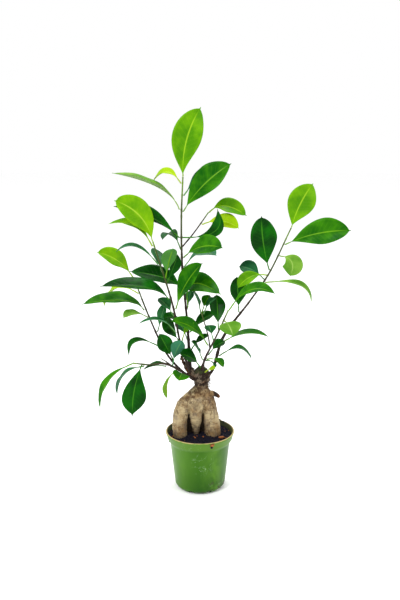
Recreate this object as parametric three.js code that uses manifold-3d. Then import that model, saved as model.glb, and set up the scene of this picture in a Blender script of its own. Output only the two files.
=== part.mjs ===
// A young indoor fig with swollen roots, growing in a small nursery pot.
// Millimetres, +Z up. The origin is the middle of the pot's underside,
// +X is to the right and +Y is to the back.

import * as THREE from "three";
import { mergeVertices } from "three/addons/utils/BufferGeometryUtils.js";
import Module from "manifold-3d";

const wasm = await Module();
wasm.setup();

// Driving dimensions

const gap = 0.3; // left between pieces that touch

const pot = {
  height: 73,
  rimRadius: 42.5,
  rimBand: 2.2, // height of the thicker band along the top edge
  rimStep: 0.8, // how far that band stands out
  collarHeight: 13,
  collarFoot: 40.4, // outer radius at the collar's lower edge
  shoulder: 37, // outer radius of the wall just under the collar
  foot: 31.5, // outer radius of the wall above the rounded corner
  corner: 7, // radius of the rounding between wall and floor
  wall: 1,
  drains: 8,
  drainWidth: 6,
  drainHeight: 4,
};

const facets = 40; // round the pot and the soil
const soilDrop = 6; // from the rim down to the soil at the wall
const soilRise = 3; // how much higher the soil is in the middle

const rootHeight = 80; // from the soil's edge up to the middle of the crown
const rootSpread = 25; // from the middle of the pot out to the widest root
const entryRoom = 11; // from the wall's inside in to where that root enters the soil
const buried = 12; // how far the roots go down into the soil

const shootHeight = 239; // from the middle of the crown to the leader's tip
const leafThickness = 0.9; // at the midrib
const stalkRadius = 0.6;
const stalkLength = 8;
const leafFold = 20; // degrees that each half of a blade is raised

const chip = { length: 8, width: 4.5, thickness: 2.2 };

const collarLevel = pot.height - pot.collarHeight;
const lipRadius = pot.rimRadius - pot.rimStep - pot.wall; // inside the rim
const soilLevel = pot.height - soilDrop;
const crownLevel = soilLevel + rootHeight;
const entryReach = pot.shoulder - pot.wall - entryRoom;

// The roots' paths: [right, back, up, radius]. Right and back are shares of the
// spread, or of the entry's reach in a first row, which is where a root enters
// the soil. Up is a share of the root height, radii are millimetres.

const roots = {
  left: [
    [-1, -0.24, 0, 8.8],
    [-1, -0.24, 0.28, 9.4],
    [-0.86, -0.22, 0.5, 9.2],
    [-0.48, -0.16, 0.63, 8.6],
    [-0.1, -0.06, 0.73, 8],
    [0.08, 0, 0.82, 7],
  ],
  middle: [
    [-0.18, -0.06, 0.04, 4],
    [-0.2, -0.14, 0.24, 6.8],
    [-0.2, -0.2, 0.42, 8.6],
    [-0.14, -0.16, 0.55, 10],
    [-0.02, -0.06, 0.7, 9],
    [0.08, 0, 0.8, 7],
  ],
  right: [
    [0.62, -0.06, 0, 10.2],
    [0.54, -0.06, 0.35, 9.6],
    [0.36, -0.04, 0.6, 8.8],
    [0.1, 0, 0.8, 7],
  ],
  backLeft: [
    [-0.46, 0.24, 0, 6],
    [-0.46, 0.2, 0.3, 6.6],
    [-0.3, 0.08, 0.56, 7],
    [0, 0, 0.76, 6],
  ],
  backRight: [
    [0.16, 0.26, 0, 6],
    [0.14, 0.22, 0.3, 6.6],
    [0.12, 0.08, 0.56, 7],
    [0.08, 0, 0.76, 6],
  ],
};

// The crown and what grew out of it, in millimetres from the middle of the crown.

const crown = [
  [2.5, 0, -21, 8],
  [2.5, 0, -16, 7.4],
  [2, 0, -10, 9.4],
  [2, 0, -2, 10.4],
  [2, 0, 5, 8.4],
  [2, 0, 10, 3.4],
];

const snags = [
  // a dead arm, sawn off, on the crown's left
  [
    [-2, 0, -6, 5],
    [-11, 0, -2, 3.8],
    [-16, 3, 6, 2.8],
    [-21, 4, 15, 2.2],
    [-23, 4, 22, 1.9],
  ],
  // the swollen foot of the leader
  [
    [-4, -2, -4, 4.8],
    [-10, -2, 2, 3.8],
    [-12, -2, 9, 2.8],
  ],
  // a broken root on the right
  [
    [8, -3, -22, 3.6],
    [15, -5, -23, 3],
    [20, -6, -25, 2.5],
    [24, -7, -28, 1.4],
  ],
];

// The stems, as grown for a shoot of that height. Path: [right, back, up, radius]
// from the middle of the crown. Leaf: at is its place along the stem, reach goes
// from its foot to its tip, arch is how far its rib rises above that line as a
// share of it, peak is where it does, and roll turns the blade about the rib.

const drawnHeight = 239;

const stems = [
  {
    name: "leader_stem",
    on: "rootstock",
    path: [
      [-12, -2, 4, 2.2],
      [-15, 0, 60, 1.3],
      [-21, 4, 130, 1.1],
      [-22, 7, 190, 0.9],
      [-20, 9, 239, 0.7],
    ],
    leaves: [
      { at: 0.34, reach: [40, -26, 22], width: 28, arch: 0.45, peak: 0.25, roll: -50, tone: "mid" },
      { at: 0.44, reach: [-64, 14, 18], width: 28, arch: 0.08, peak: 0.25, roll: 35, tone: "dark" },
      { at: 0.55, reach: [40, 30, 8], width: 24, arch: 0.2, roll: 45, tone: "pale" },
      { at: 0.6, reach: [46, -30, 16], width: 28, arch: 0.12, roll: -50, tone: "mid" },
      { at: 0.7, reach: [40, -12, 35], width: 18, arch: -0.34, peak: 0.85, roll: -70, tone: "dark" },
      { at: 0.7, reach: [-76, -12, 38], width: 30, arch: 0.08, roll: 30, tone: "dark" },
      { at: 0.83, reach: [56, -8, 56], width: 34, arch: 0.06, roll: -65, tone: "mid" },
      { at: 0.84, reach: [-78, -10, 43], width: 26, arch: 0.12, peak: 0.25, roll: 4, stalk: 18, tone: "mid" },
      { at: 0.91, reach: [46, 24, 34], width: 20, arch: 0.08, roll: -20, tone: "pale" },
      { at: 0.97, reach: [-34, 14, 1], width: 16, arch: 0.32, roll: 26, stalk: 5, tone: "fresh" },
      { at: 1, reach: [21, -3, 78], width: 37, arch: 0.08, roll: -90, stalk: 2, tone: "fresh" },
    ],
  },
  {
    name: "left_stem",
    on: "rootstock",
    path: [
      [-12, -5, 3, 1.6],
      [-24, -12, 45, 1.1],
      [-32, -16, 90, 1],
      [-54, -25, 168, 0.7],
    ],
    leaves: [
      { at: 0.24, reach: [-20, 20, 28], width: 18, arch: 0, roll: 70, tone: "dark" },
      { at: 0.33, reach: [-44, -8, 13], width: 12, arch: 0.22, roll: 0, tone: "pale" },
      { at: 0.5, reach: [32, -14, 58], width: 28, arch: 0.06, roll: -60, tone: "mid" },
      { at: 0.58, reach: [-80, -12, 18], width: 32, arch: 0.1, peak: 0.2, roll: 15, tone: "dark" },
      { at: 0.69, reach: [12, 24, 30], width: 16, arch: 0, roll: -60, tone: "dark" },
      { at: 0.74, reach: [10, -24, 38], width: 20, arch: 0.03, roll: 0, tone: "mid" },
      { at: 0.78, reach: [-12, 34, 22], width: 18, arch: 0, roll: -20, tone: "pale" },
      { at: 0.84, reach: [-50, 8, 13], width: 14, arch: 0.24, peak: 0.65, roll: 5, tone: "pale" },
      { at: 0.97, reach: [-52, 12, 24], width: 18, arch: 0.2, roll: 15, tone: "fresh" },
      { at: 1, reach: [-42, -8, 47], width: 33, arch: 0.14, roll: 70, stalk: 3, tone: "fresh" },
    ],
  },
  {
    name: "far_left_stem",
    on: "rootstock",
    path: [
      [-8, 2, -6, 1.8],
      [-20, 0, 2, 1.3],
      [-40, -8, 28, 1.1],
      [-60, 2, 68, 0.9],
      [-81, 22, 116, 0.7],
    ],
    leaves: [
      { at: 0.25, reach: [-16, -10, 36], width: 20, arch: 0, roll: 105, tone: "dark" },
      { at: 0.4, reach: [-38, -8, -10], width: 16, arch: 0.4, peak: 0.75, roll: 10, tone: "dark" },
      { at: 0.66, reach: [-27, -28, 6], width: 18, arch: 0.12, roll: 10, tone: "pale" },
      { at: 0.72, reach: [-73, -20, 12], width: 30, arch: 0.12, peak: 0.2, roll: 15, tone: "mid" },
      { at: 0.87, reach: [-46, 28, -24], width: 20, arch: 0.27, roll: 20, tone: "fresh" },
      { at: 1, reach: [-42, -12, 33], width: 27, arch: 0.1, roll: 45, tone: "fresh" },
    ],
  },
  {
    name: "low_left_stem",
    on: "rootstock",
    path: [
      [-7, -4, -6, 1.8],
      [-20, -10, 5, 1.3],
      [-42, -18, 19, 1.2],
      [-60, -22, 19, 0.9],
      [-80, -25, 22, 0.8],
    ],
    leaves: [
      { at: 0.43, reach: [12, -6, 32], width: 18, arch: 0.06, roll: 60, tone: "pale" },
      { at: 0.84, reach: [-34, 10, -40], width: 18, arch: 0.19, roll: 10, tone: "pale" },
      { at: 0.87, reach: [-12, -6, -62], width: 32, arch: 0.06, roll: 80, stalk: 4, tone: "dark" },
      { at: 1, reach: [-39, -6, -56], width: 16, arch: 0.17, roll: 15, tone: "pale" },
    ],
  },
  {
    name: "right_stem",
    on: "rootstock",
    path: [
      [7, 3, -5, 2.2],
      [15, 6, 2, 1.6],
      [28, 13, 42, 1.6],
      [62, 21, 88, 1],
      [84, 25, 120, 0.9],
      [111, 32, 176, 0.7],
    ],
    leaves: [
      { at: 0.15, reach: [40, 6, -6], width: 18, arch: 0.28, peak: 0.6, roll: 0, tone: "dark" },
      { at: 0.24, reach: [57, 14, 1], width: 20, arch: 0.12, roll: -5, tone: "mid" },
      { at: 0.43, reach: [-3, 8, 43], width: 25, arch: 0, roll: 0, tone: "dark" },
      { at: 0.67, reach: [-30, 14, 13], width: 22, arch: 0.1, roll: 40, tone: "dark" },
      { at: 0.66, reach: [58, 6, -28], width: 16, arch: 0.22, peak: 0.75, roll: -20, tone: "fresh" },
      { at: 0.7, reach: [-36, -16, -13], width: 20, arch: 0.15, roll: 30, tone: "fresh" },
      { at: 0.73, reach: [-11, -2, 66], width: 35, arch: -0.04, roll: 90, tone: "dark" },
      { at: 0.83, reach: [12, -10, -24], width: 26, arch: 0.4, roll: -55, stalk: 4, tone: "pale" },
      { at: 0.9, reach: [78, -8, 18], width: 35, arch: 0.06, roll: -62, tone: "mid" },
      { at: 1, reach: [24, -3, 53], width: 35, arch: 0.05, roll: -88, stalk: 2, tone: "fresh" },
    ],
  },
  {
    name: "front_stem",
    on: "rootstock",
    path: [
      [2, -5, 2, 1.7],
      [5, -11, 20, 1.2],
      [20, -19, 55, 0.9],
      [33, -26, 87, 0.7],
    ],
    leaves: [
      { at: 0.11, reach: [-25, -14, 21], width: 20, arch: 0.1, roll: 45, tone: "dark" },
      { at: 0.7, reach: [-2, 20, 38], width: 20, arch: 0, roll: 0, tone: "dark" },
      { at: 0.86, reach: [9, -32, -10], width: 27, arch: 0.1, roll: -10, tone: "fresh" },
      { at: 1, reach: [54, -4, 20], width: 21, arch: 0.24, peak: 0.6, roll: -25, tone: "fresh" },
    ],
  },
  {
    name: "upper_twig",
    on: "leader_stem",
    path: [
      [-22, 5, 156, 0.8],
      [-8, 11, 172, 0.7],
      [10, 20, 196, 0.6],
    ],
    leaves: [
      { at: 0.7, reach: [44, -8, -4], width: 22, arch: 0.14, roll: -45, tone: "fresh" },
      { at: 1, reach: [45, -4, -4], width: 24, arch: 0.2, peak: 0.3, roll: -45, tone: "mid" },
    ],
  },
  {
    name: "inner_twig",
    on: "front_stem",
    path: [
      [12, -15, 37, 0.8],
      [10, -10, 50, 0.7],
      [2, -5, 78, 0.6],
    ],
    leaves: [{ at: 0.1, reach: [-44, -14, 34], width: 22, arch: 0.12, roll: 35, tone: "mid" }],
  },
];

// Looks

const leafColours = { dark: 0x1f5c28, mid: 0x3a8a30, fresh: 0x7ab53c, pale: 0x86a87a };

function material(color, roughness) {
  return new THREE.MeshStandardMaterial({ color, roughness, metalness: 0 });
}

// Solids

function solidOf(geometry) {
  const bare = geometry.clone();
  bare.deleteAttribute("normal");
  bare.deleteAttribute("uv");
  const merged = mergeVertices(bare, 1e-4);
  return new wasm.Manifold(
    new wasm.Mesh({
      numProp: 3,
      vertProperties: merged.attributes.position.array,
      triVerts: Uint32Array.from(merged.index.array),
    }),
  );
}

function geometryOf(solid) {
  const mesh = solid.getMesh();
  const geometry = new THREE.BufferGeometry();
  geometry.setAttribute("position", new THREE.BufferAttribute(mesh.vertProperties, 3));
  geometry.setIndex(new THREE.BufferAttribute(mesh.triVerts, 1));
  geometry.computeVertexNormals();
  return geometry;
}

// A closed cylinder, bent: place says where a point of the unit circle goes at a step.
function sweep(sides, steps, place) {
  const geometry = new THREE.CylinderGeometry(1, 1, 1, sides, steps);
  const points = geometry.attributes.position;
  for (let i = 0; i < points.count; i += 1) {
    const step = Math.round((points.getY(i) + 0.5) * steps);
    const spot = place(step, points.getX(i), points.getZ(i));
    points.setXYZ(i, spot.x, spot.y, spot.z);
  }
  geometry.computeVertexNormals();
  return geometry;
}

// A round limb through rows of [x, y, z, radius], fatter and longer all round by grow.
function limb(rows, { sides, stepsEach, grow = 0 }) {
  const path = new THREE.CatmullRomCurve3(rows.map(([x, y, z]) => new THREE.Vector3(x, y, z)));
  const girth = new THREE.SplineCurve(rows.map((row, i) => new THREE.Vector2(i, row[3])));
  const steps = (rows.length - 1) * stepsEach;
  const back = new THREE.Vector3(0, 1, 0);
  const shape = sweep(sides, steps, (step, x, z) => {
    const t = step / steps;
    const along = path.getTangent(t);
    const top = back.clone().addScaledVector(along, -back.dot(along)).normalize();
    const side = along.clone().cross(top);
    const radius = girth.getPoint(t).y + grow;
    const longer = step === 0 ? -grow : step === steps ? grow : 0;
    const spot = path.getPoint(t).addScaledVector(along, longer);
    return spot.addScaledVector(side, x * radius).addScaledVector(top, z * radius);
  });
  return { path, girth, shape };
}

// Pot and soil

// The pot's inner side from the floor up, or a side that keeps clear of it.
function drawInside(outline, clear) {
  const { wall, corner } = pot;
  outline.moveTo(0, wall + clear);
  outline.lineTo(pot.foot - corner, wall + clear);
  outline.absarc(pot.foot - corner, corner, corner - wall - clear, -Math.PI / 2, 0);
  outline.lineTo(pot.shoulder - wall - clear, collarLevel + wall + clear);
  outline.lineTo(pot.collarFoot - wall - clear, collarLevel + 2 * wall + clear);
}

function potShape() {
  const { height, rimRadius, rimBand, rimStep, collarFoot, shoulder, foot, corner, wall } = pot;
  const outside = new THREE.Path();
  outside.moveTo(0, 0);
  outside.lineTo(foot - corner, 0);
  outside.absarc(foot - corner, corner, corner, -Math.PI / 2, 0);
  outside.lineTo(shoulder, collarLevel);
  outside.lineTo(collarFoot, collarLevel + wall);
  outside.lineTo(rimRadius - rimStep, height - rimBand);
  outside.lineTo(rimRadius, height - rimBand);
  outside.lineTo(rimRadius, height);
  const inside = new THREE.Path();
  drawInside(inside, 0);
  inside.lineTo(lipRadius, height);
  const outline = [...outside.getPoints(2), ...inside.getPoints(2).reverse()];
  const shell = new THREE.LatheGeometry(outline, facets).rotateX(Math.PI / 2);

  const drain = new THREE.BoxGeometry(2 * corner, pot.drainWidth, 2 * pot.drainHeight);
  drain.translate(foot, 0, 0);
  let solid = solidOf(shell);
  for (let i = 0; i < pot.drains; i += 1) {
    const turned = drain.clone().rotateZ(((i + 0.5) * 2 * Math.PI) / pot.drains);
    solid = solid.subtract(solidOf(turned));
  }
  return geometryOf(solid);
}

function soilTop(radius) {
  const edge = pot.rimRadius;
  return soilLevel + soilRise * (1 - (radius / edge) ** 2);
}

function soilShape(rootstock) {
  const ledge = collarLevel + 2 * pot.wall;
  const share = (soilLevel - ledge) / (pot.height - ledge);
  const edge = THREE.MathUtils.lerp(pot.collarFoot - pot.wall, lipRadius, share) - gap;
  const outline = new THREE.Path();
  drawInside(outline, gap);
  outline.lineTo(edge, soilLevel);
  for (const part of [0.6, 0.3, 0]) {
    outline.lineTo(edge * part, soilTop(edge * part));
  }
  const heap = new THREE.LatheGeometry(outline.getPoints(2), facets).rotateX(Math.PI / 2);
  return geometryOf(solidOf(heap).subtract(rootstock));
}

function chipShape() {
  const outline = new THREE.Shape();
  outline.moveTo(-chip.length / 2, -chip.width / 3);
  outline.lineTo(chip.length / 4, -chip.width / 2);
  outline.lineTo(chip.length / 2, 0);
  outline.lineTo(chip.length / 5, chip.width / 2);
  outline.lineTo(-chip.length / 3, chip.width / 3);
  return new THREE.ExtrudeGeometry(outline, { depth: chip.thickness, bevelEnabled: false });
}

// Rootstock

function rootRow([x, y, z, radius], step) {
  const spread = step === 0 ? entryReach : rootSpread;
  return [x * spread, y * spread, soilLevel + z * rootHeight, radius];
}

function crownRow([x, y, z, radius]) {
  return [x, y, crownLevel + z, radius];
}

function rootstockSolid(grow) {
  const detail = { sides: 11, stepsEach: 2, grow };
  const legs = Object.values(roots).map((rows) => {
    const leg = rows.map(rootRow);
    const [x, y, z, radius] = leg[0];
    return [[x, y, z - buried, radius * 0.8], ...leg];
  });
  const limbs = [...legs, crown.map(crownRow), ...snags.map((rows) => rows.map(crownRow))];
  return limbs
    .map((rows) => solidOf(limb(rows, detail).shape))
    .reduce((whole, piece) => whole.add(piece));
}

// Stems and leaves

const grown = shootHeight / drawnHeight;
const up = new THREE.Vector3(0, 0, 1);
const leafSteps = 8;

function stemRow([x, y, z, radius]) {
  return [x * grown, y * grown, crownLevel + z * grown, radius];
}

function stemLimb(stem, grow) {
  return limb(stem.path.map(stemRow), { sides: 8, stepsEach: 2, grow });
}

// Where a leaf's stalk starts: just off the stem's skin, or past the tip.
function leafFoot(stem, leaf) {
  const { path, girth } = stemLimb(stem);
  const t = path.getUtoTmapping(leaf.at);
  const along = path.getTangent(t);
  const clear = gap + stalkRadius;
  if (leaf.at === 1) {
    return path.getPoint(t).addScaledVector(along, clear);
  }
  const out = new THREE.Vector3(...leaf.reach).normalize();
  out.addScaledVector(along, -out.dot(along)).normalize();
  return path.getPoint(t).addScaledVector(out, girth.getPoint(t).y + clear);
}

// Half the blade's width, from 0 at its base to 1 at its tip.
function bladeHalf(share, width) {
  const swell = Math.sin(Math.PI * share ** 1.3) ** 0.88;
  return (width / 2) * swell * (1 - 0.55 * share ** 8);
}

function leafShape(stem, leaf) {
  const { arch, peak = 0.5, roll, stalk = stalkLength, width } = leaf;
  const foot = leafFoot(stem, leaf);
  const reach = new THREE.Vector3(...leaf.reach).multiplyScalar(grown);
  const length = reach.length();
  const right = reach.clone().cross(up).normalize();
  const lift = right.clone().cross(reach).normalize();
  const bend = foot.clone().addScaledVector(reach, peak).addScaledVector(lift, 2 * arch * length);
  const rib = new THREE.QuadraticBezierCurve3(foot, bend, foot.clone().add(reach));
  const turn = THREE.MathUtils.degToRad(roll);
  const fold = THREE.MathUtils.degToRad(leafFold);
  const across = right.multiplyScalar(Math.cos(turn)).addScaledVector(lift, Math.sin(turn));
  const stalkShare = (stalk * grown) / length;
  const edge = Math.sin(Math.PI / 3); // how far out a hexagon's side points are

  return sweep(6, leafSteps, (step, x, z) => {
    const blade = Math.max(0, (step - 1) / (leafSteps - 1));
    const t = step === 0 ? 0 : stalkShare + blade * (1 - stalkShare);
    const along = rib.getTangent(t);
    const side = across.clone().addScaledVector(along, -across.dot(along)).normalize();
    const top = side.clone().cross(along);
    const half = bladeHalf(blade, width * grown) / edge;
    const flat = Math.min(1, half / (4 * stalkRadius));
    const thick = THREE.MathUtils.lerp(stalkRadius, leafThickness / 2, flat);
    const out = x * Math.max(stalkRadius, half * Math.cos(fold));
    const raised = z * thick + Math.abs(x) * half * Math.sin(fold);
    return rib.getPoint(t).addScaledVector(side, out).addScaledVector(top, raised);
  });
}

// The plant in its pot

const group = new THREE.Group();

function add(name, geometry, look) {
  const mesh = new THREE.Mesh(geometry, look);
  mesh.name = name;
  group.add(mesh);
  return mesh;
}

add("pot", potShape(), material(0x4c962c, 0.35));
add("soil", soilShape(rootstockSolid(gap)), material(0x1c1714, 0.95));
add("rootstock", geometryOf(rootstockSolid(0)), material(0xa58a66, 0.75));

const chipPlace = { x: 0.62 * pot.rimRadius, y: -0.36 * pot.rimRadius, turn: 0.6 };
const barkChip = add("bark_chip", chipShape(), material(0xa5542a, 0.85));
barkChip.position.set(
  chipPlace.x,
  chipPlace.y,
  soilTop(Math.hypot(chipPlace.x, chipPlace.y) - chip.length / 2) + gap,
);
barkChip.rotation.z = chipPlace.turn;

for (const stem of stems) {
  const bearer = stems.find(({ name }) => name === stem.on);
  const socket = bearer ? solidOf(stemLimb(bearer, gap).shape) : rootstockSolid(gap);
  const grownStem = solidOf(stemLimb(stem).shape).subtract(socket);
  add(stem.name, geometryOf(grownStem), material(0x4d3a26, 0.75));
  stem.leaves.forEach((leaf, i) => {
    const name = `${stem.name}_leaf_${i + 1}`;
    add(name, leafShape(stem, leaf), material(leafColours[leaf.tone], 0.35));
  });
}

export default group;
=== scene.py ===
import math
import random

import bmesh
import bpy
from mathutils import Matrix, Vector, noise


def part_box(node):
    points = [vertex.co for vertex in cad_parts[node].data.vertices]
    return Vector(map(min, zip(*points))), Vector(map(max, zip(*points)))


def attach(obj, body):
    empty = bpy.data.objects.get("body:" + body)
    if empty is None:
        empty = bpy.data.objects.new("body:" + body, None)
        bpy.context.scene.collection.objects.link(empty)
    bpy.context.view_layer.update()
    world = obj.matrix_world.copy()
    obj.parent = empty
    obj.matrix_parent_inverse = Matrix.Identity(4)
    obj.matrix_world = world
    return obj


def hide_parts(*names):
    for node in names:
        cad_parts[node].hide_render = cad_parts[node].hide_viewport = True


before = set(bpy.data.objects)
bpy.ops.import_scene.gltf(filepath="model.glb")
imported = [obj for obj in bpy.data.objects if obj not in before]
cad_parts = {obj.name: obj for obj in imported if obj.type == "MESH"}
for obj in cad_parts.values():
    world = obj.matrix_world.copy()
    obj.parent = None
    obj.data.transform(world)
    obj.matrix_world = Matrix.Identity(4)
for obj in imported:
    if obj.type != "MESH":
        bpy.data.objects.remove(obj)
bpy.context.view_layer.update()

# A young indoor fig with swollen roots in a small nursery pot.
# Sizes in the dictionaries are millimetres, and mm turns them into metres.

mm = 0.001
scene = bpy.context.scene
scene.view_settings.view_transform = "Standard"

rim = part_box("pot")[1].z
soilTop = rim - 6 * mm
crown = Vector((0, 0, soilTop + 80 * mm))


# Camera and light: lamps are placed in metres

camera = dict(lens=45.2, distance=880, height=450, pitch=13.4)
studio = dict(
    world=(1.0, 1.0, 1.0),
    worldStrength=1.0,
    aim=(0, 0, 0.22),
    key=dict(place=(-0.9, -1.1, 1.5), size=0.45, watts=20),
    fill=dict(place=(1.2, -0.8, 0.9), size=0.6, watts=4),
    top=dict(place=(0.1, 0.5, 1.7), size=0.5, watts=12),
)


def makeCamera():
    eye = bpy.data.objects.new("camera", bpy.data.cameras.new("camera"))
    eye.data.lens = camera["lens"]
    eye.data.sensor_width = 36
    eye.data.clip_start = 0.01
    eye.location = (0, -camera["distance"] * mm, camera["height"] * mm)
    eye.rotation_euler = (math.radians(90 - camera["pitch"]), 0, 0)
    scene.collection.objects.link(eye)
    scene.camera = eye


def makeLight(name, setting):
    lamp = bpy.data.objects.new(name, bpy.data.lights.new(name, "AREA"))
    lamp.data.shape = "DISK"
    lamp.data.size = setting["size"]
    lamp.data.energy = setting["watts"]
    lamp.location = setting["place"]
    aim = Vector(studio["aim"]) - lamp.location
    lamp.rotation_euler = aim.to_track_quat("-Z", "Y").to_euler()
    scene.collection.objects.link(lamp)


def makeStudio():
    world = bpy.data.worlds.new("studio")
    world.use_nodes = True
    background = world.node_tree.nodes["Background"]
    background.inputs["Color"].default_value = (*studio["world"], 1)
    background.inputs["Strength"].default_value = studio["worldStrength"]
    scene.world = world
    for name in ("key", "fill", "top"):
        makeLight(name, studio[name])


makeCamera()
makeStudio()
print("camera and lights are ready")


# Material helpers

class Finish:
    # a material being built: one surface shader, with short names for its nodes

    def __init__(self, name, roughness=0.5, **sockets):
        self.material = bpy.data.materials.new(name)
        self.material.use_nodes = True
        self.tree = self.material.node_tree
        self.shader = self.tree.nodes["Principled BSDF"]
        self.shader.inputs["Roughness"].default_value = roughness
        for socket, value in sockets.items():
            self.shader.inputs[socket.replace("_", " ")].default_value = value
        self.coords = self.tree.nodes.new("ShaderNodeTexCoord")
        self.place = self.coords.outputs["Object"]
        self.uv = self.coords.outputs["UV"]

    def node(self, kind, values=(), **settings):
        made = self.tree.nodes.new("ShaderNode" + kind)
        for name, value in settings.items():
            setattr(made, name, value)
        for socket, value in dict(values).items():
            self.put(value, made.inputs[socket])
        return made

    def put(self, value, socket):
        if isinstance(value, bpy.types.NodeSocket):
            self.tree.links.new(value, socket)
        elif isinstance(value, tuple) and len(value) == 3 and socket.type == "RGBA":
            socket.default_value = (*value, 1)
        else:
            socket.default_value = value

    def noise(self, scale, detail=3, rough=0.55, stretch=(1, 1, 1), distortion=0, place=None):
        spread = self.node("Mapping", {"Vector": place or self.place, "Scale": stretch})
        values = {"Vector": spread.outputs["Vector"], "Scale": scale, "Detail": detail}
        values.update({"Roughness": rough, "Distortion": distortion})
        return self.node("TexNoise", values).outputs["Fac"]

    def math(self, operation, a, b=0.0, c=0.0, clamp=False):
        return self.node("Math", {0: a, 1: b, 2: c}, operation=operation, use_clamp=clamp).outputs[0]

    def ramp(self, value, low, high):
        # 0 below low, 1 above high, smooth between
        values = {"Value": value, "From Min": low, "From Max": high}
        made = self.node("MapRange", values, interpolation_type="SMOOTHSTEP")
        return made.outputs["Result"]

    def mix(self, share, a, b, blend="MIX"):
        made = self.tree.nodes.new("ShaderNodeMix")
        made.data_type = "RGBA"
        made.blend_type = blend
        for socket, value in ((0, share), (6, a), (7, b)):
            self.put(value, made.inputs[socket])
        return made.outputs[2]

    def vector(self, operation, a, b=(0, 0, 0)):
        made = self.node("VectorMath", {0: a, 1: b}, operation=operation)
        return made.outputs["Value" if operation in ("DISTANCE", "LENGTH") else "Vector"]

    def split(self, vector):
        return self.node("SeparateXYZ", {"Vector": vector}).outputs

    def bump(self, height, strength, distance):
        values = {"Height": height, "Strength": strength, "Distance": distance * mm}
        self.put(self.node("Bump", values).outputs["Normal"], self.shader.inputs["Normal"])

    def done(self, colour, roughness=None):
        self.put(colour, self.shader.inputs["Base Color"])
        if roughness is not None:
            self.put(roughness, self.shader.inputs["Roughness"])
        return self.material


# Mesh helpers

def makePiece(name, bm, materials, node=None):
    mesh = bpy.data.meshes.new(name)
    for face in bm.faces:
        face.smooth = True
    bm.to_mesh(mesh)
    bm.free()
    for material in materials:
        mesh.materials.append(material)
    piece = bpy.data.objects.new(name, mesh)
    scene.collection.objects.link(piece)
    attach(piece, "root")
    if node:
        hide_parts(node)
    return piece


def makeTube(bm, steps, sides, place, material=0):
    # a grid rolled into a closed tube: place says where a point is at a step and an angle
    grid = bmesh.ops.create_grid(bm, x_segments=steps, y_segments=sides, size=1)
    uv = bm.loops.layers.uv.verify()
    verts = grid["verts"]
    for face in {face for vert in verts for face in vert.link_faces}:
        face.material_index = material
        for loop in face.loops:
            loop[uv].uv = ((loop.vert.co.x + 1) / 2, (loop.vert.co.y + 1) / 2)
    for vert in verts:
        along = (vert.co.x + 1) / 2
        vert.co = place(along, math.pi * (vert.co.y + 1))
    bmesh.ops.remove_doubles(bm, verts=verts, dist=1e-6)
    return verts


def curveAt(rows, t):
    # the point and radius at t on a centripetal curve through rows of (x, y, z, radius)
    knots = [Vector(row) for row in rows]
    spot = t * (len(knots) - 1)
    i = min(int(spot), len(knots) - 2)
    share = spot - i
    before = knots[i - 1] if i else knots[0] * 2 - knots[1]
    after = knots[i + 2] if i + 2 < len(knots) else knots[-1] * 2 - knots[-2]
    four = [before, knots[i], knots[i + 1], after]
    gaps = [(four[k + 1].xyz - four[k].xyz).length ** 0.5 or 1 for k in range(3)]
    start = (four[1] - four[0]) / gaps[0] - (four[2] - four[0]) / (gaps[0] + gaps[1])
    start = (start + (four[2] - four[1]) / gaps[1]) * gaps[1]
    end = (four[2] - four[1]) / gaps[1] - (four[3] - four[1]) / (gaps[1] + gaps[2])
    end = (end + (four[3] - four[2]) / gaps[2]) * gaps[1]
    rise = four[2] - four[1]
    spot = four[1] + start * share + (rise * 3 - start * 2 - end) * share ** 2
    spot += (start + end - rise * 2) * share ** 3
    return spot.xyz, spot.w


def directionAt(rows, t):
    near, far = max(0, t - 0.001), min(1, t + 0.001)
    return (curveAt(rows, far)[0] - curveAt(rows, near)[0]).normalized()


def evenlyAt(rows, share):
    # t at a share of the curve's length
    samples = 200
    spots = [curveAt(rows, i / samples)[0] for i in range(samples + 1)]
    lengths = [0]
    for a, b in zip(spots, spots[1:]):
        lengths.append(lengths[-1] + (b - a).length)
    goal = share * lengths[-1]
    for i in range(samples):
        if lengths[i + 1] >= goal:
            return (i + (goal - lengths[i]) / (lengths[i + 1] - lengths[i])) / samples
    return 1


def acrossFrom(along, start):
    # the direction nearest to start that is square to along
    return (start - along * start.dot(along)).normalized()


# Pot

pot = dict(
    height=73, rimRadius=42.5, rimBand=2.2, rimStep=0.8,
    collarHeight=13, collarFoot=40.4, shoulder=37, foot=31.5, corner=7,
    wall=1, drains=8, drainWidth=6, drainHeight=4, steps=160,
    wobble=0.25, crease=1.1, creaseAngle=-62, creaseWidth=5, creaseTop=60, creaseFade=12, creaseRise=15,
    sharp=50,
    # the pot's greens: the darker foot green is painted shade, the lighter collar and side greens are
    # painted light, and the side green also colours random streaks
    green=(0.03, 0.115, 0.0005), litAndStreakGreen=(0.085, 0.215, 0.012),
    shadedFootGreen=(0.013, 0.072, 0.0003), litCollarGreen=(0.075, 0.18, 0.012),
    scuff=(0.42, 0.6, 0.34), scuffAt=(4, -38, 42), creaseHighlightAt=19,
    worn=(0.42, 0.33, 0.14), darkBrown=(0.035, 0.022, 0.014),
)


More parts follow.
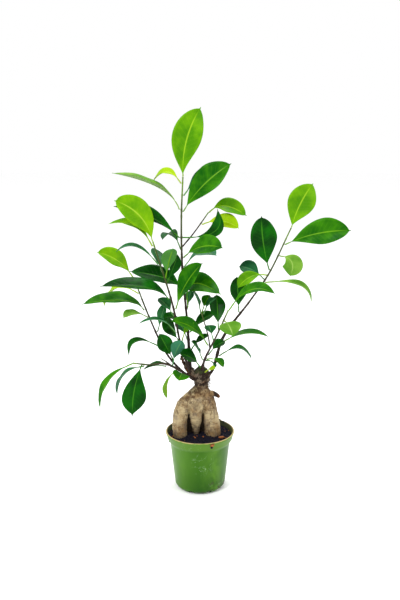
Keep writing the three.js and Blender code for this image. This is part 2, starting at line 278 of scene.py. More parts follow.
def potPlastic():
    finish = Finish("potPlastic", 0.35, Specular_IOR_Level=0.16)
    x, y, z = finish.split(finish.place)
    height = pot["height"] * mm
    # painted shade: the green darkens towards the foot of the pot
    colour = finish.mix(finish.ramp(z, 0.0, 0.62 * height), pot["shadedFootGreen"], pot["green"])
    # painted light: the left side of the pot is painted a lighter green
    left = finish.math("MULTIPLY", finish.ramp(x, 5 * mm, -38 * mm), 0.6)
    # painted highlight: a pale band down the front beside the crease, broken up by noise
    fromCrease = finish.math("ABSOLUTE", finish.math("SUBTRACT", x, pot["creaseHighlightAt"] * mm))
    creaseHighlight = finish.math("MULTIPLY", finish.ramp(fromCrease, 9 * mm, 0), finish.ramp(y, 0, -20 * mm))
    creaseHighlight = finish.math("MULTIPLY", creaseHighlight, finish.ramp(finish.noise(70, 3), 0.38, 0.62))
    # the painted light on the left and the painted crease highlight are mixed in together
    side = finish.math("MAXIMUM", left, finish.math("MULTIPLY", creaseHighlight, 0.7))
    colour = finish.mix(side, colour, pot["litAndStreakGreen"])
    level = height - pot["collarHeight"] * mm
    # painted light: the collar is painted a lighter green
    colour = finish.mix(finish.ramp(z, level - 1 * mm, level + 4 * mm), colour, pot["litCollarGreen"])
    # random paler streaks in the plastic, in the same lighter green
    clouds = finish.noise(38, 3, stretch=(1, 1, 0.45))
    cloudy = finish.math("MULTIPLY", finish.ramp(clouds, 0.45, 0.8), 0.6)
    colour = finish.mix(cloudy, colour, pot["litAndStreakGreen"])
    hairlines = finish.noise(52, 4, 0.65, stretch=(1, 1, 0.6), distortion=1.6)
    thin = finish.math("ABSOLUTE", finish.math("SUBTRACT", hairlines, 0.5))
    fromScuff = finish.vector("DISTANCE", finish.place, tuple(v * mm for v in pot["scuffAt"]))
    patches = finish.math("MAXIMUM", finish.ramp(fromScuff, 19 * mm, 9 * mm),
                          finish.math("MULTIPLY", finish.ramp(finish.noise(30, 1), 0.6, 0.7), 0.5))
    scratch = finish.math("MULTIPLY", finish.ramp(thin, 0.009, 0.002), patches)
    scratch = finish.math("MULTIPLY", scratch, finish.ramp(finish.noise(240, 3), 0.36, 0.5))
    colour = finish.mix(finish.math("MULTIPLY", scratch, 0.6), colour, pot["scuff"])
    # dark grit specks, low on the right and all round the foot
    low = finish.ramp(z, 24 * mm, 3 * mm)
    corner = finish.math("MULTIPLY", finish.ramp(x, 5 * mm, 26 * mm), low)
    corner = finish.math("MAXIMUM", corner, finish.ramp(z, 5 * mm, 1 * mm))
    grit = finish.noise(230, 4, 0.7)
    specks = finish.math("MULTIPLY", finish.ramp(grit, 0.55, 0.59), finish.ramp(corner, 0.03, 0.35))
    colour = finish.mix(specks, colour, pot["darkBrown"])
    edge = finish.math("ADD", z, finish.math("MULTIPLY", finish.noise(180, 3), 2.4 * mm))
    worn = finish.ramp(edge, height + 0.2 * mm, height + 1.1 * mm)
    colour = finish.mix(worn, colour, pot["worn"])
    # the inner wall above the soil is darkened with the same dark brown
    radius = finish.vector("LENGTH", finish.vector("MULTIPLY", finish.place, (1, 1, 0)))
    flared = finish.math("MULTIPLY_ADD", finish.math("SUBTRACT", height, z), 0.2, radius)
    lip = (pot["rimRadius"] - pot["rimStep"] - pot["wall"]) * mm
    inside = finish.math("MULTIPLY", finish.ramp(flared, lip + 0.8 * mm, lip + 0.5 * mm),
                         finish.ramp(z, height - 8.5 * mm, height - 7.5 * mm))
    colour = finish.mix(finish.math("MULTIPLY", inside, 0.8), colour, pot["darkBrown"])
    roughness = finish.math("MULTIPLY_ADD", clouds, 0.3, 0.22)
    roughness = finish.math("ADD", roughness, finish.math("MULTIPLY", worn, 0.3), clamp=True)
    relief = finish.math("SUBTRACT", finish.noise(95, 2), finish.math("MULTIPLY", scratch, 0.4))
    finish.bump(relief, 0.25, 0.5)
    return finish.done(colour, roughness)


def arcPoints(centre, radius, start, end, count):
    angles = [start + (end - start) * i / count for i in range(count + 1)]
    return [(centre[0] + radius * math.cos(a), centre[1] + radius * math.sin(a)) for a in angles]


def potOutline():
    # the wall's section, out along the floor, up the outside and back down the inside
    p = pot
    level = p["height"] - p["collarHeight"]
    lip = p["rimRadius"] - p["rimStep"] - p["wall"]
    centre = (p["foot"] - p["corner"], p["corner"])
    outside = [(0, 0.6), (p["foot"] * 0.55, 0.6), (p["foot"] * 0.6, 0)]
    outside += arcPoints(centre, p["corner"], -math.pi / 2, 0, 8)
    outside += [(p["shoulder"], level - 1.6), (p["shoulder"] + 0.5, level - 0.4)]
    outside += [(p["collarFoot"] - 0.9, level + 2.6), (p["collarFoot"] - 0.1, level + 4)]
    band = p["height"] - p["rimBand"]
    outside += [(p["rimRadius"] - p["rimStep"], band - 0.3)]
    outside += arcPoints((p["rimRadius"] - 0.5, band + 0.5), 0.5, -math.pi / 2, 0, 3)
    outside += arcPoints((p["rimRadius"] - 0.6, p["height"] - 0.6), 0.6, 0, math.pi / 2, 4)
    inside = [(0, 1.6)] + arcPoints(centre, p["corner"] - p["wall"], -math.pi / 2, 0, 8)
    inside += [(p["shoulder"] - p["wall"], level - 0.6)]
    inside += [(p["collarFoot"] - p["wall"] - 0.3, level + 4.3), (lip, p["height"] - 0.6)]
    inside += [(lip + 0.4, p["height"])]
    return outside + inside[::-1]


def potWarp(spot):
    # thin plastic is never quite round, and one soft crease runs down the front right
    angle = math.atan2(spot.y, spot.x)
    radius = math.hypot(spot.x, spot.y)
    if radius < 1 * mm:
        return spot
    height = spot.z / mm
    out = pot["wobble"] * mm * height / pot["height"] * math.sin(2 * angle + 0.7)
    turn = math.degrees(angle) - pot["creaseAngle"]
    dent = math.exp(-((turn / pot["creaseWidth"]) ** 2))
    below = max(0, min(1, (pot["creaseTop"] - height) / pot["creaseFade"]))
    below *= min(1, height / pot["creaseRise"])
    out -= pot["crease"] * mm * dent * below
    scale = (radius + out) / radius
    return Vector((spot.x * scale, spot.y * scale, spot.z))


def turned(outline, steps):
    # an outline of (radius, height), which starts and ends on the axis, spun round it
    bm = bmesh.new()
    verts = [bm.verts.new((x * mm, 0, z * mm)) for x, z in outline]
    edges = [bm.edges.new(pair) for pair in zip(verts, verts[1:])]
    bmesh.ops.spin(bm, geom=verts + edges, cent=(0, 0, 0), axis=(0, 0, 1),
                   angle=2 * math.pi, steps=steps, use_merge=True)
    bmesh.ops.remove_doubles(bm, verts=bm.verts, dist=1e-6)
    bmesh.ops.recalc_face_normals(bm, faces=bm.faces)
    return bm


def drainCutter():
    bm = bmesh.new()
    verts = bmesh.ops.create_cube(bm, size=1)["verts"]
    size = (2 * pot["corner"] * mm, pot["drainWidth"] * mm, 2 * pot["drainHeight"] * mm)
    bmesh.ops.scale(bm, vec=size, verts=verts)
    lengthwise = [e for e in bm.edges if abs(e.verts[0].co.x - e.verts[1].co.x) > mm]
    bmesh.ops.bevel(bm, geom=lengthwise, offset=1.2 * mm, segments=3, affect="EDGES",
                    profile=0.5, material=-1)
    bmesh.ops.translate(bm, vec=(pot["foot"] * mm, 0, 0), verts=bm.verts)
    step = 2 * math.pi / pot["drains"]
    bmesh.ops.rotate(bm, cent=(0, 0, 0), matrix=Matrix.Rotation(step / 2, 3, "Z"), verts=bm.verts)
    bmesh.ops.spin(bm, geom=bm.verts[:] + bm.edges[:] + bm.faces[:], cent=(0, 0, 0), axis=(0, 0, 1),
                   angle=2 * math.pi - step, steps=pot["drains"] - 1, use_duplicate=True)
    mesh = bpy.data.meshes.new("drainCutter")
    bm.to_mesh(mesh)
    bm.free()
    cutter = bpy.data.objects.new("drainCutter", mesh)
    scene.collection.objects.link(cutter)
    return cutter


def applyModifiers(piece):
    depsgraph = bpy.context.evaluated_depsgraph_get()
    mesh = bpy.data.meshes.new_from_object(piece.evaluated_get(depsgraph))
    piece.modifiers.clear()
    piece.data = mesh


def makePot():
    bm = turned(potOutline(), pot["steps"])
    piece = makePiece("pot", bm, [potPlastic()], node="pot")
    cutter = drainCutter()
    cut = piece.modifiers.new("drains", "BOOLEAN")
    cut.operation = "DIFFERENCE"
    cut.solver = "EXACT"
    cut.object = cutter
    applyModifiers(piece)
    bpy.data.objects.remove(cutter)
    for vert in piece.data.vertices:
        vert.co = potWarp(vert.co)
    piece.data.set_sharp_from_angle(angle=math.radians(pot["sharp"]))
    return piece


makePot()
print("pot is ready")


# Soil

soil = dict(
    drop=6, rise=3, steps=120, rings=26, lumps=1.1, seed=7, crumbs=620, chips=34,
    dark=(0.005, 0.0055, 0.013), light=(0.026, 0.02, 0.026), bark=(0.34, 0.11, 0.032),
    spilled=[  # right, back, up, size, and 1 for bark
        (14.6, -40.2, 70.6, 4.4, 1), (14.2, -40.2, 67.4, 3.4, 0), (25, 33, 73, 3.6, 0),
        (30, 27.5, 72.8, 2.6, 0), (20, 36.5, 73, 2.4, 0), (-38.6, -6, 60, 1.8, 0),
    ],
    barkDark=(0.12, 0.04, 0.014),
)


def soilMaterial():
    finish = Finish("pottingSoil", 0.9, Specular_IOR_Level=0.1)
    grain = finish.noise(650, 5, 0.7)
    damp = finish.noise(70, 2)
    colour = finish.mix(finish.ramp(grain, 0.42, 0.75), soil["dark"], soil["light"])
    fibres = finish.noise(300, 4, 0.7, stretch=(1, 3.2, 1), distortion=1)
    colour = finish.mix(finish.ramp(fibres, 0.66, 0.74), colour, soil["barkDark"])
    finish.bump(grain, 0.9, 0.9)
    return finish.done(colour, finish.math("MULTIPLY_ADD", damp, 0.35, 0.6))


def barkMaterial():
    finish = Finish("barkChips", 0.8, Specular_IOR_Level=0.15)
    grain = finish.noise(420, 4, 0.65, stretch=(0.35, 1.6, 1.2))
    colour = finish.mix(finish.ramp(grain, 0.35, 0.7), soil["barkDark"], soil["bark"])
    finish.bump(grain, 0.6, 0.5)
    return finish.done(colour, finish.math("MULTIPLY_ADD", grain, 0.3, 0.6))


def soilLevelAt(x, y):
    share = math.hypot(x, y) / (pot["rimRadius"] * mm)
    lumps = noise.noise(Vector((x, y, 0)) * 90) + 0.5 * noise.noise(Vector((y, x, 0.3)) * 260)
    return soilTop + (soil["rise"] * (1 - share ** 2) + soil["lumps"] * (lumps - 0.3)) * mm


def makeSoil(materials):
    level = pot["height"] - soil["drop"]
    edge = pot["rimRadius"] - pot["rimStep"] - pot["wall"] - 0.8
    clear = pot["wall"] + 0.4
    collar = pot["height"] - pot["collarHeight"] + 5
    outline = [(edge * i / soil["rings"], level) for i in range(soil["rings"] + 1)]
    outline += [(pot["collarFoot"] - clear - 0.5, collar), (pot["shoulder"] - clear - 0.3, collar - 6)]
    outline += [(pot["foot"] - clear, pot["corner"]), (pot["foot"] - pot["corner"] + 2, 2.6), (0, 2.4)]
    bm = turned(outline, soil["steps"])
    for vert in bm.verts:
        if vert.co.z > (level - 0.5) * mm:
            vert.co.z = soilLevelAt(vert.co.x, vert.co.y)
    makePiece("soil", bm, materials, node="soil")


def addLump(bm, draw, spot, size, flat, material):
    lump = bmesh.ops.create_icosphere(bm, subdivisions=1, radius=0.5)["verts"]
    for vert in lump:
        vert.co *= 1 + draw.uniform(-0.25, 0.25)
    stretch = Matrix.Diagonal((size * draw.uniform(0.8, 1.6), size, size * flat, 1))
    turn = Matrix.Rotation(draw.uniform(0, 6.28), 4, "Z")
    turn = turn @ Matrix.Rotation(draw.uniform(-0.5, 0.5), 4, "X")
    bmesh.ops.transform(bm, matrix=Matrix.Translation(spot) @ turn @ stretch, verts=lump)
    for face in {face for vert in lump for face in vert.link_faces}:
        face.material_index = material


def makeCrumbs(materials):
    draw = random.Random(soil["seed"])
    bm = bmesh.new()
    reach = (pot["rimRadius"] - 4) * mm
    for i in range(soil["crumbs"] + soil["chips"]):
        chip = i >= soil["crumbs"]
        angle, out = draw.uniform(0, 2 * math.pi), reach * math.sqrt(draw.random())
        x, y = out * math.cos(angle), out * math.sin(angle)
        size = draw.uniform(1.6, 3.4) * mm if chip else draw.uniform(0.8, 2.6) * mm
        flat = 0.4 if chip else draw.uniform(0.5, 0.9)
        spot = Vector((x, y, soilLevelAt(x, y) + size * 0.15))
        addLump(bm, draw, spot, size, flat, 1 if chip else 0)
    for x, y, z, size, kind in soil["spilled"]:
        addLump(bm, draw, Vector((x, y, z)) * mm, size * mm, 0.8, kind)
    makePiece("soilCrumbs", bm, materials)


barkChip = dict(
    size=(8, 4.2, 2), cuts=5, taper=0.35, rough=0.5, grain=500, smooth=0.4, turn=0.6, tilt=0.12,
)


def makeBarkChip(material):
    # a broken flake of bark: a slab, roughened and tipped into the soil
    low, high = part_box("bark_chip")
    middle = (low + high) / 2
    bm = bmesh.new()
    bmesh.ops.create_cube(bm, size=1)
    bmesh.ops.scale(bm, vec=Vector(barkChip["size"]) * mm, verts=bm.verts)
    bmesh.ops.subdivide_edges(bm, edges=bm.edges, cuts=barkChip["cuts"], use_grid_fill=True)
    for vert in bm.verts:
        taper = 1 - barkChip["taper"] * abs(vert.co.x) / (barkChip["size"][0] / 2 * mm)
        rough = noise.noise_vector(vert.co * barkChip["grain"]) * barkChip["rough"] * mm
        vert.co = Vector((vert.co.x, vert.co.y * taper, vert.co.z * taper)) + rough
    bmesh.ops.smooth_vert(bm, verts=bm.verts, factor=barkChip["smooth"],
                          use_axis_x=True, use_axis_y=True, use_axis_z=True)
    turn = Matrix.Rotation(barkChip["turn"], 4, "Z") @ Matrix.Rotation(barkChip["tilt"], 4, "Y")
    bmesh.ops.transform(bm, matrix=Matrix.Translation(middle) @ turn, verts=bm.verts)
    makePiece("bark_chip", bm, [material], node="bark_chip")


soilFinishes = [soilMaterial(), barkMaterial()]
makeSoil(soilFinishes)
makeCrumbs(soilFinishes)
makeBarkChip(soilFinishes[1])
print("soil is ready")


# Rootstock

rootstock = dict(
    voxel=0.9, smoothing=4, wrinkle=0.6, lump=0.96, crownRough=1.8, crownFrom=-20,
    snag=0.5, snagFrom=14, snagLow=-14,
    tan=(0.235, 0.148, 0.066), pale=(0.43, 0.34, 0.19),
    brown=(0.055, 0.026, 0.011), grey=(0.17, 0.13, 0.09),
    earth=(0.045, 0.026, 0.016), crownBrown=(0.018, 0.01, 0.006), moss=(0.045, 0.06, 0.02),
    rust=(0.13, 0.045, 0.012),
)


def rootBark():
    r = rootstock
    finish = Finish("rootBark", 0.7, Specular_IOR_Level=0.15)
    x, y, z = finish.split(finish.place)
    clouds = finish.noise(60, 5, 0.7)
    colour = finish.mix(finish.ramp(clouds, 0.4, 0.6), r["tan"], r["pale"])
    greyish = finish.noise(95, 4, 0.7, stretch=(1, 1, 0.7))
    greyish = finish.math("MULTIPLY", finish.ramp(greyish, 0.5, 0.62), 0.7)
    colour = finish.mix(greyish, colour, r["grey"])
    streaks = finish.noise(170, 6, 0.75, stretch=(1, 1, 0.45), distortion=1.4)
    streaky = finish.math("MULTIPLY", finish.ramp(streaks, 0.53, 0.66), 0.9)
    colour = finish.mix(streaky, colour, r["brown"])
    rings = finish.noise(300, 4, 0.65, stretch=(0.35, 0.35, 1.6), distortion=0.8)
    ringed = finish.math("MULTIPLY", finish.ramp(rings, 0.54, 0.66), 0.5)
    colour = finish.mix(ringed, colour, r["brown"])
    upper = finish.math("MULTIPLY", finish.ramp(z, crown.z - 58 * mm, crown.z - 22 * mm), 0.85)
    mottled = finish.math("MULTIPLY", upper, finish.ramp(finish.noise(140, 5, 0.75), 0.42, 0.58))
    colour = finish.mix(mottled, colour, r["brown"])
    earthy = finish.math("MULTIPLY", finish.ramp(z, soilTop + 16 * mm, soilTop), 0.75)
    earthy = finish.math("MULTIPLY", earthy, finish.ramp(clouds, 0.35, 0.6))
    colour = finish.mix(earthy, colour, r["earth"])
    # painted shade: the leg sides and back roots between the legs, below the crown, are painted a
    # near-black brown
    between = finish.math("MULTIPLY", finish.ramp(y, -7 * mm, -2 * mm), finish.ramp(y, 12 * mm, 6 * mm))
    between = finish.math("MULTIPLY", between, finish.ramp(z, crown.z - 30 * mm, crown.z - 44 * mm))
    fromMiddle = finish.math("ABSOLUTE", x)
    between = finish.math("MULTIPLY", between, finish.ramp(fromMiddle, 20 * mm, 15 * mm))
    colour = finish.mix(finish.math("MULTIPLY", between, 0.95), colour, r["crownBrown"])
    wobble = finish.math("MULTIPLY_ADD", finish.noise(110, 4, 0.7), 22 * mm, z)
    woody = finish.ramp(wobble, crown.z - 7 * mm, crown.z - 1 * mm)
    rusty = finish.ramp(finish.noise(260, 4, 0.7), 0.52, 0.7)
    crownColour = finish.mix(rusty, r["crownBrown"], r["rust"])
    dusty = finish.math("MULTIPLY", finish.ramp(finish.noise(130, 4, 0.7), 0.5, 0.62), 0.8)
    crownColour = finish.mix(dusty, crownColour, r["grey"])
    arms = finish.math("MULTIPLY", finish.ramp(x, crown.x - 9 * mm, crown.x - 14 * mm),
                       finish.ramp(finish.noise(230, 3), 0.45, 0.6))
    crownColour = finish.mix(arms, crownColour, r["rust"])
    ragged = finish.math("MULTIPLY_ADD", finish.noise(200, 3), 12 * mm, z)
    top = finish.ramp(ragged, crown.z + 8 * mm, crown.z + 13 * mm)
    top = finish.math("MULTIPLY", top, finish.ramp(x, crown.x - 9 * mm, crown.x - 5 * mm))
    crownColour = finish.mix(finish.math("MULTIPLY", top, 0.85), crownColour, r["moss"])
    colour = finish.mix(woody, colour, crownColour)
    snag = finish.ramp(x, crown.x + 15 * mm, crown.x + 18 * mm)
    snag = finish.math("MULTIPLY", snag, finish.ramp(z, crown.z - 32 * mm, crown.z - 28 * mm))
    broken = finish.ramp(x, crown.x + 20 * mm, crown.x + 25 * mm)
    snagColour = finish.mix(broken, r["crownBrown"], r["rust"])
    colour = finish.mix(snag, colour, snagColour)
    pores = finish.noise(700, 3, 0.7)
    relief = finish.math("ADD", finish.math("MULTIPLY", pores, 0.4), streaks)
    relief = finish.math("ADD", relief, finish.math("MULTIPLY", rings, 0.8))
    finish.bump(relief, 0.9, 0.9)
    return finish.done(colour, finish.math("MULTIPLY_ADD", clouds, 0.3, 0.5))


def barkRelief(spot, normal):
    # wrinkles that run round the roots, broad lumps, a coarse broken crown, and a fuller snag
    wrinkles = noise.noise(Vector((spot.x * 90, spot.y * 90, spot.z * 420)))
    lumps = noise.noise(spot * 55) + 0.4 * noise.noise(spot * 160)
    above = (spot.z - crown.z) / mm - rootstock["crownFrom"]
    rough = max(0, min(1, above / 10)) * rootstock["crownRough"]
    knots = abs(noise.noise(spot * 300)) - 0.25 + 0.8 * noise.noise(spot * 700)
    height = rootstock["wrinkle"] * wrinkles + rootstock["lump"] * lumps + rough * knots
    out = (spot.x - crown.x) / mm - rootstock["snagFrom"]
    if out > 0 and above > rootstock["snagLow"]:
        height += rootstock["snag"] * min(1, out)
    return normal * height * mm


def makeRootstock(material):
    bm = bmesh.new()
    bm.from_mesh(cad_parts["rootstock"].data)
    bmesh.ops.remove_doubles(bm, verts=bm.verts, dist=1e-5)
    piece = makePiece("rootstock", bm, [material], node="rootstock")
    remesh = piece.modifiers.new("remesh", "REMESH")
    remesh.mode = "VOXEL"
    remesh.voxel_size = rootstock["voxel"] * mm
    smooth = piece.modifiers.new("smooth", "SMOOTH")
    smooth.factor = 0.5
    smooth.iterations = rootstock["smoothing"]
    applyModifiers(piece)
    moves = [barkRelief(vert.co, vert.normal) for vert in piece.data.vertices]
    for vert, move in zip(piece.data.vertices, moves):
        vert.co += move
    for face in piece.data.polygons:
        face.use_smooth = True


rootlets = dict(
    count=90, seed=21, shift=1.5, low=-19, high=5, inside=7.5, length=(2.5, 5.5), radius=(0.12, 0.3),
    steps=8, sides=5,
)


def makeRootlets(material):
    # fine dry rootlets on the crown, most of them on its right
    draw = random.Random(rootlets["seed"])
    bm = bmesh.new()
    for i in range(rootlets["count"]):
        turn = draw.gauss(-0.2, 0.9) if i % 4 else draw.uniform(0, 6.28)
        up = draw.uniform(rootlets["low"], rootlets["high"])
        out = Vector((math.cos(turn), math.sin(turn), draw.uniform(-0.5, 0.2))).normalized()
        start = crown + Vector((rootlets["shift"], 0, up)) * mm + out * rootlets["inside"] * mm
        bend = start + out * draw.uniform(*rootlets["length"]) * mm
        curl = Vector((draw.uniform(-2, 2), draw.uniform(-2, 2), draw.uniform(-5, 1.5))) * mm
        radius = draw.uniform(*rootlets["radius"])
        rows = [(*start, radius), (*bend, radius * 0.8), (*(bend + curl), radius * 0.3)]
        addLimb(bm, rows, rootlets["steps"], rootlets["sides"])
    bmesh.ops.recalc_face_normals(bm, faces=bm.faces)
    makePiece("crownRootlets", bm, [material])


def addLimb(bm, rows, steps, sides, girth=None, material=0):
    # a round limb with closed ends through rows of (x, y, z, radius): metres, radius in mm
    frames = []
    for i in range(steps - 1):
        share = i / (steps - 2)
        t = evenlyAt(rows, share)
        spot, radius = curveAt(rows, t)
        along = directionAt(rows, t)
        top = acrossFrom(along, Vector((0, 1, 0.01)))
        radius *= girth(share) if girth else 1
        frames.append((spot, along.cross(top) * radius * mm, top * radius * mm))

    def place(along, angle):
        step = round(along * steps)
        if step in (0, steps):
            return frames[0 if step == 0 else -1][0]
        spot, side, top = frames[step - 1]
        return spot + side * math.cos(angle) + top * math.sin(angle)

    makeTube(bm, steps, sides, place, material)


rootFinish = rootBark()
makeRootstock(rootFinish)
makeRootlets(rootFinish)
print("rootstock is ready")


# Stems and leaves
#
# path: rows of (right, back, up, radius) from the middle of the crown. A leaf's
# at is its place along its stem, reach goes from its foot to its tip, arch is how
# far its rib rises over that line as a share of it, peak is where it does, roll
# turns the blade about the rib, tip makes its end blunter (below 0.62) or sharper.
# The small leaves and the bare spurs, given as (at, reach), are too fine for nodes.

